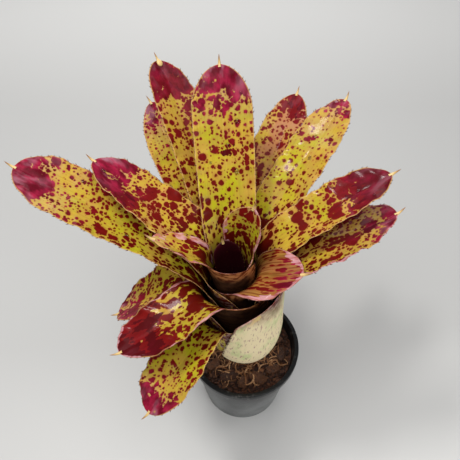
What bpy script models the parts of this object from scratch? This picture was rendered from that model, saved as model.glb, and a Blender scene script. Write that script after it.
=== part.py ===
"""A spotted bromeliad in a round nursery pot, in metres, +Z up, standing on z = 0.

The origin is the middle of the pot's underside. +X is to the right and -Y is the front.
Sixteen leaves grow in a rosette from a short leaning stem. Each leaf is one solid: a broad
sheath that wraps round the plant's axis and makes the water tank with its neighbours, then
a strap-shaped blade that bends outward. Every sheath lies in its own layer, one leaf
thickness and a clearance outside the one before.
"""
import math
from dataclasses import dataclass

import bmesh
import bpy
import numpy as np

# Clearances and thicknesses
GAP = 0.0003                # between pieces that touch
LEAF_THICKNESS = 0.0009     # of a blade
SHEATH_THINNING = 0.8       # sheath thickness as a share of the blade's

# Pot
POT_HEIGHT = 0.087
POT_RIM_RADIUS = 0.050      # outside of the rolled rim
POT_BASE_RADIUS = 0.038
POT_WALL = 0.0016
POT_FLOOR = 0.0022
RIM_HEIGHT = 0.006
RIM_OVERHANG = 0.0022       # how far the rim stands out from the wall
DRAIN_HOLES = 6
DRAIN_RADIUS = 0.0045
POT_SIDES = 40

# Potting mix and the husk chips that lie on it
MIX_BELOW_RIM = 0.012
MIX_UNEVENNESS = 0.0009
CHIP_THICKNESS = 0.0030
CHIP_REACH = 0.036          # from the pot's middle to the farthest chip in the table
CHIP_FROM_WALL = 0.0115     # how far that chip keeps from the wall if the pot changes

# Stem
STEM_RADIUS = 0.0075
STEM_TIP_RADIUS = 0.0040
STEM_X, STEM_Y = 0.005, -0.004      # where it leaves the mix
STEM_BURIED = 0.015
LEAN = math.radians(6.4)            # of the whole plant, towards -X

# Sheath layers, counted from the heart outward
LAYERS = 16
LAYER_CLEARANCE = 0.00080           # free space between two neighbouring sheaths
INNER_RADIUS = 0.0105               # of the innermost sheath
LOWEST_LEAF = 0.017                 # height of the outermost leaf's foot above the mix
FOOT_STEP = 0.0019                  # from one leaf's foot up to the next one's
BULB_HEIGHT = 0.062                 # height over which a sheath swells to its full radius
BULB_ROUNDNESS = 0.6
SHEATH_FLARE = math.radians(4)

# Leaf mesh
FACET = 18.0                        # degrees of sheath per column
CREASE_DEPTH = 0.0012
CREASE_WIDTH = 0.004
MUCRO_LENGTH = 0.005                # the spine at a leaf's tip


@dataclass
class Leaf:
    """One leaf. Lengths are in metres and angles in degrees.

    Its two sides are the counter-clockwise and the clockwise one, seen from above.
    """
    name: str
    azimuth: float      # of its midline, from +X towards +Y
    top: float          # height above the mix where the sheath ends and the blade starts
    blade: float        # length of the blade along its midline
    width: float        # of the blade
    out: tuple          # the blade's angle from upright, near its base and at its tip
    ccw: tuple = (80, 65)       # how far the sheath wraps round, at its foot and at its top
    cw: tuple = (80, 65)
    bend: float = 0.040         # length over which the blade turns outward
    shoulder: float = 0.030     # length over which the sheath narrows to the blade
    channel: float = 0.042      # radius of the blade's hollow section
    tip: float = 0.030          # length over which the blade narrows to its tip
    neck: float = 0.92          # width where the blade begins, as a share of the full width
    roll: float = 0.0           # twist of the blade about its midline
    sway: float = 0.0           # sideways drift of the blade's tip


# From the heart outward, so each leaf's place in the list is its layer.
LEAVES = [
    Leaf("heart_leaf", 113, 0.137, 0.018, 0.024, (3, 0), (100, 60), (100, 60),
         bend=0.010, shoulder=0.010, channel=0.012, tip=0.012),
    Leaf("inner_back_leaf", 46, 0.149, 0.039, 0.036, (12, 16), (100, 60), (130, 115),
         bend=0.030, shoulder=0.013, channel=0.0185, tip=0.024, roll=2, sway=-0.004),
    Leaf("inner_left_leaf", 195, 0.152, 0.045, 0.030, (53, 54), (150, 155), (90, 50),
         bend=0.020, shoulder=0.006, channel=0.024, roll=10, sway=-0.010),
    Leaf("inner_right_leaf", 322, 0.128, 0.050, 0.042, (62, 66), (80, 58), (140, 115),
         bend=0.030, shoulder=0.006, channel=0.045, roll=24, sway=0.012),
    Leaf("back_leaf", 89, 0.137, 0.133, 0.043, (46, 43), (85, 70), (80, 60)),
    Leaf("left_back_leaf", 151, 0.134, 0.114, 0.045, (55, 62), (140, 125), (80, 60),
         channel=0.050, roll=22, sway=-0.003),
    Leaf("right_leaf", 16, 0.126, 0.119, 0.036, (58, 71), (80, 60), (130, 65),
         channel=0.031, roll=-5),
    Leaf("left_leaf", 167, 0.124, 0.157, 0.046, (57, 61), (120, 80), (80, 60),
         channel=0.045, roll=2, sway=-0.008),
    Leaf("right_back_leaf", 49, 0.125, 0.140, 0.038, (62, 68), tip=0.038, roll=-7),
    Leaf("front_left_leaf", 224, 0.123, 0.079, 0.040, (98, 105), (120, 125), (80, 60),
         bend=0.030, shoulder=0.021, channel=0.080, roll=2, sway=-0.015),
    Leaf("back_left_leaf", 105, 0.123, 0.158, 0.034, (51, 58), (80, 65), (80, 58),
         channel=0.028, roll=18, sway=0.010),
    Leaf("back_right_leaf", 66, 0.121, 0.135, 0.038, (62, 70), tip=0.046),
    Leaf("lower_left_leaf", 186, 0.114, 0.074, 0.045, (106, 118),
         bend=0.030, channel=0.038, roll=17, sway=0.004),
    Leaf("far_back_left_leaf", 116, 0.112, 0.145, 0.034, (64, 65), (80, 55), (80, 65),
         channel=0.031, tip=0.042, roll=-9, sway=-0.004),
    Leaf("front_leaf", 237, 0.099, 0.086, 0.044, (94, 121), (100, 54), (80, 60),
         bend=0.030, channel=0.045, neck=0.62, roll=14, sway=-0.007),
    Leaf("lower_right_leaf", 2, 0.125, 0.096, 0.049, (75, 70), (80, 60), (148, 89),
         shoulder=0.010, channel=0.070, roll=-16, sway=0.011),
]

# Husk chips: angle round the pot, distance from its middle, yaw, length and width.
CHIPS = [
    (-118, 0.031, 20, 0.015, 0.009),
    (-92, 0.034, 75, 0.012, 0.008),
    (-66, 0.032, -30, 0.016, 0.010),
    (-38, 0.034, 15, 0.013, 0.008),
    (-10, 0.036, 80, 0.014, 0.008),
    (18, 0.033, -50, 0.012, 0.009),
    (55, 0.034, 35, 0.015, 0.009),
    (95, 0.033, -10, 0.013, 0.008),
    (135, 0.034, 60, 0.014, 0.009),
    (178, 0.034, -70, 0.013, 0.008),
    (-150, 0.033, 40, 0.014, 0.009),
]

# Worked out from the values above
MIX_LEVEL = POT_HEIGHT - MIX_BELOW_RIM
SHEATH_THICKNESS = SHEATH_THINNING * LEAF_THICKNESS
LAYER_STEP = SHEATH_THICKNESS + LAYER_CLEARANCE
WALL_TOP_RADIUS = POT_RIM_RADIUS - RIM_OVERHANG


def material(name, colour, roughness, metallic=0.0):
    """A Principled material of one colour."""
    made = bpy.data.materials.new(name)
    made.use_nodes = True
    shader = made.node_tree.nodes["Principled BSDF"]
    shader.inputs["Base Color"].default_value = (*colour, 1.0)
    shader.inputs["Roughness"].default_value = roughness
    shader.inputs["Metallic"].default_value = metallic
    return made


def add_object(name, bm, finish, smooth_angle=40):
    """Turn a bmesh into a named object with its own material."""
    mesh = bpy.data.meshes.new(name)
    bm.to_mesh(mesh)
    bm.free()
    mesh.shade_smooth()
    mesh.set_sharp_from_angle(angle=math.radians(smooth_angle))
    mesh.materials.append(finish)
    made = bpy.data.objects.new(name, mesh)
    bpy.context.scene.collection.objects.link(made)
    return made


def turned(profile, sides):
    """Closed solid turned about Z from (radius, z) points that start and end on the axis."""
    bm = bmesh.new()
    rings = []
    for radius, z in profile[1:-1]:
        turns = [2 * math.pi * i / sides for i in range(sides)]
        rings.append([bm.verts.new((radius * math.cos(t), radius * math.sin(t), z))
                      for t in turns])
    ends = [bm.verts.new((0, 0, profile[0][1])), bm.verts.new((0, 0, profile[-1][1]))]
    for i in range(sides):
        j = (i + 1) % sides
        bm.faces.new((ends[0], rings[0][j], rings[0][i]))
        bm.faces.new((ends[1], rings[-1][i], rings[-1][j]))
        for low, high in zip(rings, rings[1:]):
            bm.faces.new((low[i], low[j], high[j], high[i]))
    bmesh.ops.recalc_face_normals(bm, faces=bm.faces)
    return bm


def cut(target, cutter):
    """Take the cutter's shape out of the target."""
    cutter.hide_render = True
    cutter.display_type = "WIRE"
    modifier = target.modifiers.new("cut", "BOOLEAN")
    modifier.operation = "DIFFERENCE"
    modifier.object = cutter


def smooth(low, high, x):
    """Smooth step from 0 at low to 1 at high."""
    t = np.clip((x - low) / (high - low), 0, 1)
    return t * t * (3 - 2 * t)


def wall_radius(z):
    """Outer radius of the pot's wall at height z."""
    return POT_BASE_RADIUS + (WALL_TOP_RADIUS - POT_BASE_RADIUS) * z / POT_HEIGHT


def make_pot():
    """Thin tapered pot with a rolled rim and a ring of drain holes in its floor."""
    rim_foot = POT_HEIGHT - RIM_HEIGHT
    lip = 0.0008
    profile = [
        (0, 0),
        (POT_BASE_RADIUS - lip, 0),
        (wall_radius(lip), lip),
        (wall_radius(rim_foot), rim_foot),
        (POT_RIM_RADIUS, rim_foot + lip),
        (POT_RIM_RADIUS, POT_HEIGHT - lip),
        (POT_RIM_RADIUS - lip, POT_HEIGHT),
        (WALL_TOP_RADIUS - POT_WALL, POT_HEIGHT),
        (wall_radius(POT_FLOOR) - POT_WALL, POT_FLOOR),
        (0, POT_FLOOR),
    ]
    pot = add_object("pot", turned(profile, POT_SIDES),
                     material("black_plastic", (0.025, 0.027, 0.030), 0.42))
    ring = 0.62 * POT_BASE_RADIUS
    bm = bmesh.new()
    for i in range(DRAIN_HOLES):
        turn = 2 * math.pi * (i + 0.5) / DRAIN_HOLES
        hole = bmesh.ops.create_cone(bm, cap_ends=True, segments=12, radius1=DRAIN_RADIUS,
                                     radius2=DRAIN_RADIUS, depth=4 * POT_FLOOR)
        bmesh.ops.translate(bm, verts=hole["verts"],
                            vec=(ring * math.cos(turn), ring * math.sin(turn), 0))
    cut(pot, add_object("drain_holes", bm, pot.data.materials[0]))


def lean(points):
    """Lean plant coordinates about the stem's foot and place them in the pot."""
    x, y, z = points[..., 0], points[..., 1], points[..., 2]
    moved = np.stack([x * math.cos(LEAN) - z * math.sin(LEAN), y,
                      x * math.sin(LEAN) + z * math.cos(LEAN)], -1)
    return moved + (STEM_X, STEM_Y, MIX_LEVEL)


def stem_profile(swell=0.0):
    """(radius, height above the mix) of the stem, which tapers where the leaves sit."""
    growing = LOWEST_LEAF + FOOT_STEP * (LAYERS - 1)
    low = -STEM_BURIED - swell
    return [
        (0, low),
        (STEM_RADIUS + swell, low),
        (STEM_RADIUS + swell, LOWEST_LEAF),
        (STEM_TIP_RADIUS + swell, growing),
        (0.6 * STEM_TIP_RADIUS + swell, growing + 0.5 * STEM_TIP_RADIUS),
        (0, growing + 0.7 * STEM_TIP_RADIUS),
    ]


def leaning(bm):
    """Lean every vertex of a bmesh made in plant coordinates."""
    for vert in bm.verts:
        vert.co = lean(np.array(vert.co))
    return bm


def make_stem():
    """Short stem, buried in the mix at its foot."""
    add_object("stem", leaning(turned(stem_profile(), 18)),
               material("stem_bark", (0.36, 0.20, 0.09), 0.7))


def make_mix():
    """Potting mix that fills the pot, with an uneven top and a socket for the stem."""
    bottom = POT_FLOOR + GAP
    inside = POT_WALL + 2 * GAP
    profile = [(0, bottom), (wall_radius(bottom) - inside, bottom),
               (wall_radius(MIX_LEVEL) - inside, MIX_LEVEL)]
    for share in (0.78, 0.55, 0.3):
        profile.append((share * profile[2][0], MIX_LEVEL))
    profile.append((0, MIX_LEVEL))
    bm = turned(profile, POT_SIDES)
    for vert in bm.verts:
        if vert.co.z > MIX_LEVEL - GAP:
            x, y = vert.co.x / 0.009, vert.co.y / 0.009
            vert.co.z += MIX_UNEVENNESS * math.sin(x + 0.7) * math.cos(1.3 * y)
    bmesh.ops.triangulate(bm, faces=bm.faces)
    mix = add_object("potting_mix", bm, material("mix", (0.055, 0.032, 0.022), 0.95))
    socket = leaning(turned(stem_profile(GAP), 18))
    cut(mix, add_object("stem_socket", socket, mix.data.materials[0]))


def make_chips():
    """Loose chips of husk on the mix: slabs with uneven corners."""
    husk = material("husk", (0.10, 0.048, 0.028), 0.9)
    foot = MIX_LEVEL + MIX_UNEVENNESS + GAP
    for i, (angle, distance, yaw, length, width) in enumerate(CHIPS):
        bm = bmesh.new()
        bmesh.ops.create_cube(bm, size=1)
        for k, vert in enumerate(bm.verts):
            pinch = 0.80 + 0.20 * math.sin(2.1 * k + 1.7 * i)
            top = 0.5 + 0.5 * math.sin(1.3 * k + i)
            rise = CHIP_THICKNESS * (0.75 + 0.25 * top) if vert.co.z > 0 else 0.0
            vert.co = (vert.co.x * length * pinch, vert.co.y * width * pinch, rise)
        turn, place = math.radians(yaw), math.radians(angle)
        spread = distance / CHIP_REACH * (wall_radius(MIX_LEVEL) - CHIP_FROM_WALL)
        chip = add_object(f"husk_chip_{i + 1}", bm, husk)
        chip.location = (spread * math.cos(place), spread * math.sin(place), foot)
        chip.rotation_euler = (0, 0, turn)


def midline(leaf, layer, along):
    """Follow a leaf's midline: radius, height and slope, the sheath's length and its radius.

    along(sheath, blade) gives the distances from the foot at which they are wanted.
    """
    foot = LOWEST_LEAF + FOOT_STEP * (LAYERS - 1 - layer)
    taper = (STEM_RADIUS - STEM_TIP_RADIUS) * (LAYERS - 1 - layer) / (LAYERS - 1)
    foot_radius = STEM_RADIUS - taper + 2 * GAP + 0.5 * SHEATH_THICKNESS
    full_radius = INNER_RADIUS + LAYER_STEP * layer
    # Sheath: a bulb that then flares a little
    z = foot + (leaf.top - foot) * (1 - np.cos(np.linspace(0, math.pi / 2, 600)))
    swell = np.clip((z - foot) / BULB_HEIGHT, 0, 1)
    round_out = (1 - (1 - swell) ** 2) ** BULB_ROUNDNESS
    r = foot_radius + (full_radius - foot_radius) * round_out
    r = r + math.tan(SHEATH_FLARE) * np.clip(z - foot - BULB_HEIGHT, 0, None)
    s = np.concatenate([[0], np.cumsum(np.hypot(np.diff(r), np.diff(z)))])
    # Blade: its angle from upright grows over the bend, then changes slowly to the tip
    t = np.linspace(0, leaf.blade, 600)
    start, end = np.radians(leaf.out)
    angle = SHEATH_FLARE + (start - SHEATH_FLARE) * smooth(0, leaf.bend, t)
    angle = angle + (end - start) * (t / leaf.blade) ** 1.5
    middle = (angle[1:] + angle[:-1]) / 2
    blade_r = r[-1] + np.cumsum(np.sin(middle) * np.diff(t))
    blade_z = z[-1] + np.cumsum(np.cos(middle) * np.diff(t))
    sheath = s[-1]
    s = np.concatenate([s, sheath + t[1:]])
    wanted = along(sheath, leaf.blade)
    radius = np.interp(wanted, s, np.concatenate([r, blade_r]))
    height = np.interp(wanted, s, np.concatenate([z, blade_z]))
    slope = np.arctan2(np.gradient(radius, wanted), np.gradient(height, wanted))
    return wanted - sheath, radius, height, slope


def half_width(leaf, wrap, t, radius, height):
    """Half width of the leaf on one side, t being the distance past the sheath's end.

    The blade's narrows to the tip; the sheath's wraps round by an angle; an elliptic
    shoulder joins the two.
    """
    x = np.clip(t / leaf.blade, 0, 1)
    near_tip = np.clip((t - leaf.blade + leaf.tip) / leaf.tip, 0, 1)
    blade = 0.5 * leaf.width * (leaf.neck + (1 - leaf.neck) * smooth(0.1, 0.6, x))
    blade = blade * (1 - near_tip ** 1.8) ** 0.55
    up = np.clip((height - height[0]) / (leaf.top - height[0]), 0, 1)
    sheath = radius * np.radians(wrap[0] + (wrap[1] - wrap[0]) * up)
    past = np.clip((t + leaf.shoulder) / (leaf.shoulder + 0.008), 0, 1)
    return blade + (sheath - blade) * np.sqrt(1 - past ** 2)


def leaf_surface(leaf, layer, along, across):
    """Middle surface of a leaf: a grid of points, rows along it and columns across it.

    In the sheath a row is an arc about the plant's axis. Past the bend it is an arc of the
    blade's channel, in the plane square to the midline, with a crease down its middle.
    """
    t, radius, height, slope = midline(leaf, layer, along)
    left = half_width(leaf, leaf.ccw, t, radius, height)[:, None]
    right = half_width(leaf, leaf.cw, t, radius, height)[:, None]
    side = np.where(across > 0, left, right) * across
    bent = smooth(0, leaf.bend, t)[:, None]
    flatter = 1 - 0.35 * smooth(0.3 * leaf.blade, 0.8 * leaf.blade, t)[:, None]
    curve = ((1 - bent) / radius[:, None] + bent / leaf.channel) * flatter
    beside = np.sin(side * curve) / curve
    inward = (1 - np.cos(side * curve)) / curve
    crease = CREASE_DEPTH * smooth(0, 0.030, t)[:, None]
    inward = inward - crease * np.exp(-np.abs(side) / CREASE_WIDTH)
    roll = math.radians(leaf.roll) * smooth(0, 0.8 * leaf.blade, t)[:, None]
    beside, inward = (beside * np.cos(roll) - inward * np.sin(roll),
                      beside * np.sin(roll) + inward * np.cos(roll))
    beside = beside + leaf.sway * (np.clip(t, 0, None) / leaf.blade)[:, None] ** 2
    tilt = bent * slope[:, None]
    r = radius[:, None] - inward * np.cos(tilt)
    z = height[:, None] + inward * np.sin(tilt)
    a = math.radians(leaf.azimuth)
    points = np.stack([r * math.cos(a) - beside * math.sin(a),
                       r * math.sin(a) + beside * math.cos(a), z], -1)
    return lean(points), smooth(0, 0.030, t)


def leaf_rows(sheath, blade):
    """Distances along a leaf: close together at the foot and at the tip."""
    tip = min(0.026, 0.6 * blade)
    foot = sheath * np.linspace(0, 1, 9) ** 1.3
    strap = sheath + np.linspace(0, blade - tip, 6)[1:]
    end = sheath + blade - tip * (1 - np.sin(np.linspace(0, math.pi / 2, 5)[1:]))
    return np.concatenate([foot, strap, end])


def make_leaf(leaf, layer, finish):
    """A leaf solid: two faces that meet at the margins, closed at the foot, with a spine."""
    left, right = (math.ceil(max(wrap) / FACET) for wrap in (leaf.ccw, leaf.cw))
    across = np.concatenate([-np.linspace(1, 0, right + 1)[:-1], np.linspace(0, 1, left + 1)])
    grid, strap = leaf_surface(leaf, layer, leaf_rows, across)
    spine = grid[-1, right] - grid[-3, right]
    spine = grid[-1, right] + MUCRO_LENGTH * spine / np.linalg.norm(spine)
    grid, strap = grid[:-1], strap[:-1]
    normal = np.cross(np.gradient(grid, axis=1), np.gradient(grid, axis=0))
    normal /= np.linalg.norm(normal, axis=-1, keepdims=True)
    thick = LEAF_THICKNESS * (SHEATH_THINNING + (1 - SHEATH_THINNING) * strap)
    offset = 0.5 * normal * thick[:, None, None]
    bm = bmesh.new()
    outer = [[bm.verts.new(p) for p in row] for row in grid + offset]
    inner = [[bm.verts.new(p) for p in row[1:-1]] for row in grid - offset]
    for row, rim, points in zip(inner, outer, grid):
        rim[0].co, rim[-1].co = points[0], points[-1]
        row.insert(0, rim[0])
        row.append(rim[-1])
    point = bm.verts.new(spine)
    for face, flip in ((outer, False), (inner, True)):
        for low, high in zip(face, face[1:]):
            for k in range(len(across) - 1):
                quad = (low[k], low[k + 1], high[k + 1], high[k])
                for triangle in (quad[:3], (quad[0], quad[2], quad[3])):
                    bm.faces.new(triangle[::-1] if flip else triangle)
        for a, b in zip(face[-1], face[-1][1:]):
            bm.faces.new((b, a, point) if flip else (a, b, point))
    for k in range(len(across) - 1):
        loop = (outer[0][k + 1], outer[0][k], inner[0][k], inner[0][k + 1])
        bm.faces.new(list(dict.fromkeys(loop)))
    bmesh.ops.recalc_face_normals(bm, faces=bm.faces)
    add_object(leaf.name, bm, finish, smooth_angle=60)


def make_leaves():
    """All the leaves, from the heart outward."""
    green = material("leaf_green", (0.42, 0.36, 0.05), 0.38)
    maroon = material("leaf_maroon", (0.14, 0.012, 0.022), 0.40)
    for layer, leaf in enumerate(LEAVES):
        make_leaf(leaf, layer, maroon if leaf.name == "heart_leaf" else green)


for old in list(bpy.data.objects):
    bpy.data.objects.remove(old)

make_pot()
make_stem()
make_mix()
make_chips()
make_leaves()
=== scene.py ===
"""A spotted bromeliad in a black nursery pot. Metres, +Z up, the front towards -Y."""
import math
from dataclasses import dataclass

import bmesh
import bpy
import numpy as np
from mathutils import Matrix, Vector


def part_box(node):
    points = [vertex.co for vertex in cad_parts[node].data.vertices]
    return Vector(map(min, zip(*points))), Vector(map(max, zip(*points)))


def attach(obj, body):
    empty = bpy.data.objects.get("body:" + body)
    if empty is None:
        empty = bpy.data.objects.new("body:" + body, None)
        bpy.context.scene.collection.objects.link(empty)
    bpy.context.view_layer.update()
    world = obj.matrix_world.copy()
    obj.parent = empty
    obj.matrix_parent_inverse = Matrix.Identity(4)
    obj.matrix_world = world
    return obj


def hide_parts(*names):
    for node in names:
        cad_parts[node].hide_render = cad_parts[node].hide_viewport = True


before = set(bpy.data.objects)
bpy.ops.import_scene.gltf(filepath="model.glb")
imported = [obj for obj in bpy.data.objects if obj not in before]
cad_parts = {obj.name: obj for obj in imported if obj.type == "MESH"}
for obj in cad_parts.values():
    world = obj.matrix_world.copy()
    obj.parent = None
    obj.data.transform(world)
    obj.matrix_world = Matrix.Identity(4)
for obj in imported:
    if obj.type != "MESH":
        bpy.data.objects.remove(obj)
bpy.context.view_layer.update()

scene = bpy.context.scene
scene.view_settings.view_transform = "Standard"


# ---- Camera -------------------------------------------------------------------------------
# Stands in front of the plant, well above it, and looks down into the rosette.
CAMERA_PLACE = (-0.0125, -0.204, 0.507)
CAMERA_TILT = math.radians(38.7)        # from straight down
camera_data = bpy.data.cameras.new("camera")
camera_data.sensor_width = 36
camera_data.lens = 39.13
camera = bpy.data.objects.new("camera", camera_data)
camera.location = CAMERA_PLACE
camera.rotation_euler = (CAMERA_TILT, 0, 0)
scene.collection.objects.link(camera)
scene.camera = camera


# ---- Studio light and floor ---------------------------------------------------------------
# A pale seamless floor in a white tent: even light from all round, one wide softbox overhead
# to the left, a small bright one beside it and a narrow one behind, which draw the gloss on
# the leaves, and a fill in front.
def add_softbox(name, place, aim, width, depth, watts, colour):
    """Add a rectangular area light at a place, turned to face a point."""
    data = bpy.data.lights.new(name, "AREA")
    data.shape = "RECTANGLE"
    data.size = width
    data.size_y = depth
    data.energy = watts
    data.color = colour
    box = bpy.data.objects.new(name, data)
    box.location = place
    facing = np.array(aim) - np.array(place)
    flat = math.hypot(facing[0], facing[1])
    box.rotation_euler = (math.atan2(flat, -facing[2]), 0, math.atan2(-facing[0], facing[1]))
    scene.collection.objects.link(box)


add_softbox("top_softbox", (-0.18, -0.25, 1.50), (0, 0, 0.15), 1.3, 1.3, 14.0, (1, 0.985, 0.96))
add_softbox("back_softbox", (-0.10, 1.15, 0.85), (0, 0, 0.20), 1.2, 0.35, 6.0, (1, 0.99, 0.98))
add_softbox("key_softbox", (-0.60, 0.20, 1.60), (0, 0, 0.20), 0.30, 0.16, 9.0, (1, 0.985, 0.96))
add_softbox("front_softbox", (0.75, -0.95, 0.65), (0, 0, 0.10), 0.8, 0.6, 6.0, (1, 1, 1))

world = bpy.data.worlds.new("tent")
world.use_nodes = True
tent = world.node_tree.nodes["Background"].inputs
tent["Color"].default_value = (0.93, 0.95, 1.0, 1)
tent["Strength"].default_value = 0.25
scene.world = world


class Finish:
    """A material being mixed. Each method adds one or two nodes and gives back an output."""

    def __init__(self, name, **sockets):
        self.material = bpy.data.materials.new(name)
        self.material.use_nodes = True
        self.tree = self.material.node_tree
        self.shader = self.tree.nodes["Principled BSDF"]
        for socket, value in sockets.items():
            self.shader.inputs[socket.replace("_", " ")].default_value = value

    def node(self, kind, inputs, **settings):
        """Any shader node; inputs maps a socket's name or number to a value or an output."""
        made = self.tree.nodes.new("ShaderNode" + kind)
        for name, value in settings.items():
            setattr(made, name, value)
        for place, value in inputs.items():
            if isinstance(value, bpy.types.NodeSocket):
                self.tree.links.new(value, made.inputs[place])
            else:
                made.inputs[place].default_value = value
        return made

    def calc(self, operation, a, b, clamp=False):
        """Arithmetic on two numbers."""
        return self.node("Math", {0: a, 1: b}, operation=operation, use_clamp=clamp).outputs[0]

    def times(self, a, b, clamp=False):
        """The product of two numbers."""
        return self.calc("MULTIPLY", a, b, clamp)

    def plus(self, a, b):
        """The sum of two numbers."""
        return self.calc("ADD", a, b)

    def centred(self, value, reach):
        """Turn noise from 0 to 1 into numbers on both sides of 0, as wide as the reach."""
        return self.times(self.plus(value, -0.5), reach)

    def move(self, where, amount):
        """Add two vectors."""
        return self.node("VectorMath", {0: where, 1: amount}, operation="ADD").outputs[0]

    def stretch(self, where, scales):
        """Multiply a vector by another, component by component."""
        return self.node("VectorMath", {0: where, 1: scales}, operation="MULTIPLY").outputs[0]

    def step(self, value, low, high):
        """Smooth step from 0 at low to 1 at high; low may be the larger."""
        inputs = {"Value": value, "From Min": low, "From Max": high}
        return self.node("MapRange", inputs, interpolation_type="SMOOTHSTEP").outputs[0]

    def blend(self, under, over, share, strength=None):
        """Lay one colour over another by a share from 0 to 1, times a strength if given."""
        if strength is not None:
            share = self.times(share, strength)
        under, over = (colour if isinstance(colour, bpy.types.NodeSocket) else (*colour, 1)
                       for colour in (under, over))
        return self.node("Mix", {0: share, 6: under, 7: over}, data_type="RGBA",
                         clamp_factor=True).outputs[2]

    def noise(self, where, scale, detail, scales=None, output="Fac"):
        """Cloudy noise, scale being its clouds in a metre; scales stretch the place first."""
        if scales:
            where = self.stretch(where, scales)
        inputs = {"Vector": where, "Scale": scale, "Detail": detail}
        return self.node("TexNoise", inputs).outputs[output]

    def shaken(self, where, grain, scale, reach):
        """Shift a place at random, by up to half the reach along each axis."""
        shift = self.move(self.noise(grain, scale, 2.0, output="Color"), (-0.5, -0.5, -0.5))
        return self.move(where, self.stretch(shift, (reach, reach, reach)))

    def cells(self, where, scale):
        """Flat Voronoi cells: the distance to the nearest seed, and a random number per cell."""
        made = self.node("TexVoronoi", {"Vector": where, "Scale": scale},
                         voronoi_dimensions="2D")
        split = self.node("SeparateColor", {0: made.outputs["Color"]})
        return made.outputs["Distance"], split.outputs[0]

    def mark_vector(self, name):
        """A mark that the mesh carries, as one vector."""
        return self.node("Attribute", {}, attribute_name=name).outputs["Vector"]

    def split(self, vector):
        """The three numbers of a vector."""
        return self.node("SeparateXYZ", {0: vector}).outputs

    def mark(self, name):
        """The three numbers of a mark that the mesh carries."""
        return self.split(self.mark_vector(name))

    def in_place(self):
        """Where the point is on the object, in metres."""
        return self.node("TexCoord", {}).outputs["Object"]

    def done(self, colour=None, roughness=None, height=None, depth=0.0):
        """Wire up the outcome, its relief being a height from 0 to 1 times a depth in metres."""
        if height is not None:
            height = self.node("Bump", {"Height": height, "Distance": depth}).outputs[0]
        for socket, value in (("Base Color", colour), ("Roughness", roughness), ("Normal", height)):
            if value is not None:
                self.tree.links.new(value, self.shader.inputs[socket])
        return self.material


def floor_finish():
    """Matt pale board, faintly clouded, with painted light: paler in front of the plant, more so to
    its right, and far behind it.
    """
    finish = Finish("pale_floor", Roughness=0.6, Specular_IOR_Level=0.3)
    where = finish.in_place()
    right, depth, _ = finish.split(where)
    # Painted light: the board turns paler in front of the plant, more so to the right, and far
    # behind it.
    front = finish.times(finish.step(depth, 0.14, -0.12), finish.step(right, -0.9, 0.30))
    pale = finish.plus(finish.step(depth, 0.30, 0.85), front)
    pale = finish.calc("SUBTRACT", pale, 0.20, clamp=True)
    board = finish.blend((0.475, 0.475, 0.467), (0.66, 0.66, 0.648), pale)
    cloud = finish.noise(where, 2.5, 2.0)
    return finish.done(finish.blend(board, (0.52, 0.52, 0.51), cloud, 0.3))


def polar(radius, turn, height):
    """Points (r cos a, r sin a, z)."""
    x, y = radius * np.cos(turn), radius * np.sin(turn)
    return np.stack([x, y, height + 0 * x], -1)


FLOOR_RADIUS = 5.0
floor_mesh = bpy.data.meshes.new("floor")
rim = polar(FLOOR_RADIUS, np.linspace(0, 2 * np.pi, 97)[:-1], 0.0)
floor_mesh.from_pydata(rim.tolist(), [], [list(range(len(rim)))])
floor_mesh.materials.append(floor_finish())
floor = bpy.data.objects.new("floor", floor_mesh)
scene.collection.objects.link(floor)


# ---- Pot ----------------------------------------------------------------------------------
# A thin tapered nursery pot, injection moulded in black polypropylene: one turned shell with
# a rolled rim, six drain holes in its floor, water marks on its wall, and a grey film low on
# the wall that is partly dust and partly a painted reflection of the floor; it fades out
# higher up, leaving the wall below the rim dark as painted shade.
WELD_DISTANCE = 2e-6


def add_piece(name, finishes, skins, replaces=()):
    """Make one mesh out of skins and hang it on the frame.

    A skin is (points, marks, finish number). Its points have the shape (copies, rows, columns,
    3). A quad joins each four neighbours, its front where columns cross rows. Marks are
    numbers at the points. Points in the same place are merged, which closes seams and poles.
    """
    places, quads, finish_of, first = [], [], [], 0
    marks = {key: [] for _, given, _ in skins for key in given}
    for points, given, finish in skins:
        number = first + np.arange(points[..., 0].size).reshape(points.shape[:3])
        corners = (number[:, :-1, :-1], number[:, :-1, 1:], number[:, 1:, 1:], number[:, 1:, :-1])
        quads.append(np.stack(corners, -1).reshape(-1, 4))
        finish_of.append(np.full(len(quads[-1]), finish))
        places.append(points.reshape(-1, 3))
        for key, values in marks.items():
            values.append(np.broadcast_to(given.get(key, 0.0), points.shape).reshape(-1, 3))
        first += number.size
    mesh = bpy.data.meshes.new(name)
    mesh.from_pydata(np.concatenate(places).tolist(), [], np.concatenate(quads).tolist())
    mesh.polygons.foreach_set("material_index", np.concatenate(finish_of).astype(np.int32))
    for key, values in marks.items():
        attribute = mesh.attributes.new(key, "FLOAT_VECTOR", "POINT")
        attribute.data.foreach_set("vector", np.concatenate(values).astype(np.float32).ravel())
    welded = bmesh.new()
    welded.from_mesh(mesh)
    bmesh.ops.remove_doubles(welded, verts=welded.verts, dist=WELD_DISTANCE)
    welded.to_mesh(mesh)
    welded.free()
    mesh.shade_smooth()
    for finish in finishes:
        mesh.materials.append(finish)
    piece = bpy.data.objects.new(name, mesh)
    scene.collection.objects.link(piece)
    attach(piece, "root")
    if replaces:
        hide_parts(*replaces)
    return piece


def full_turn(sides):
    """Angles once round; the last is 0 again, so that the seam closes."""
    turn = np.linspace(0, 2 * np.pi, sides + 1)
    turn[-1] = 0
    return turn


def yawed(points, angle):
    """Points turned about Z by an angle."""
    x, y, z = np.moveaxis(points, -1, 0)
    return np.stack([x * math.cos(angle) - y * math.sin(angle),
                     x * math.sin(angle) + y * math.cos(angle), z], -1)


def turned(profile, sides):
    """Surface turned about Z: the point at turn a is (r cos a, r sin a, z)."""
    radius, height = np.array(profile).T[:, :, None]
    return polar(radius, full_turn(sides), height)[None]


FILLET_POINTS = 7


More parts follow.
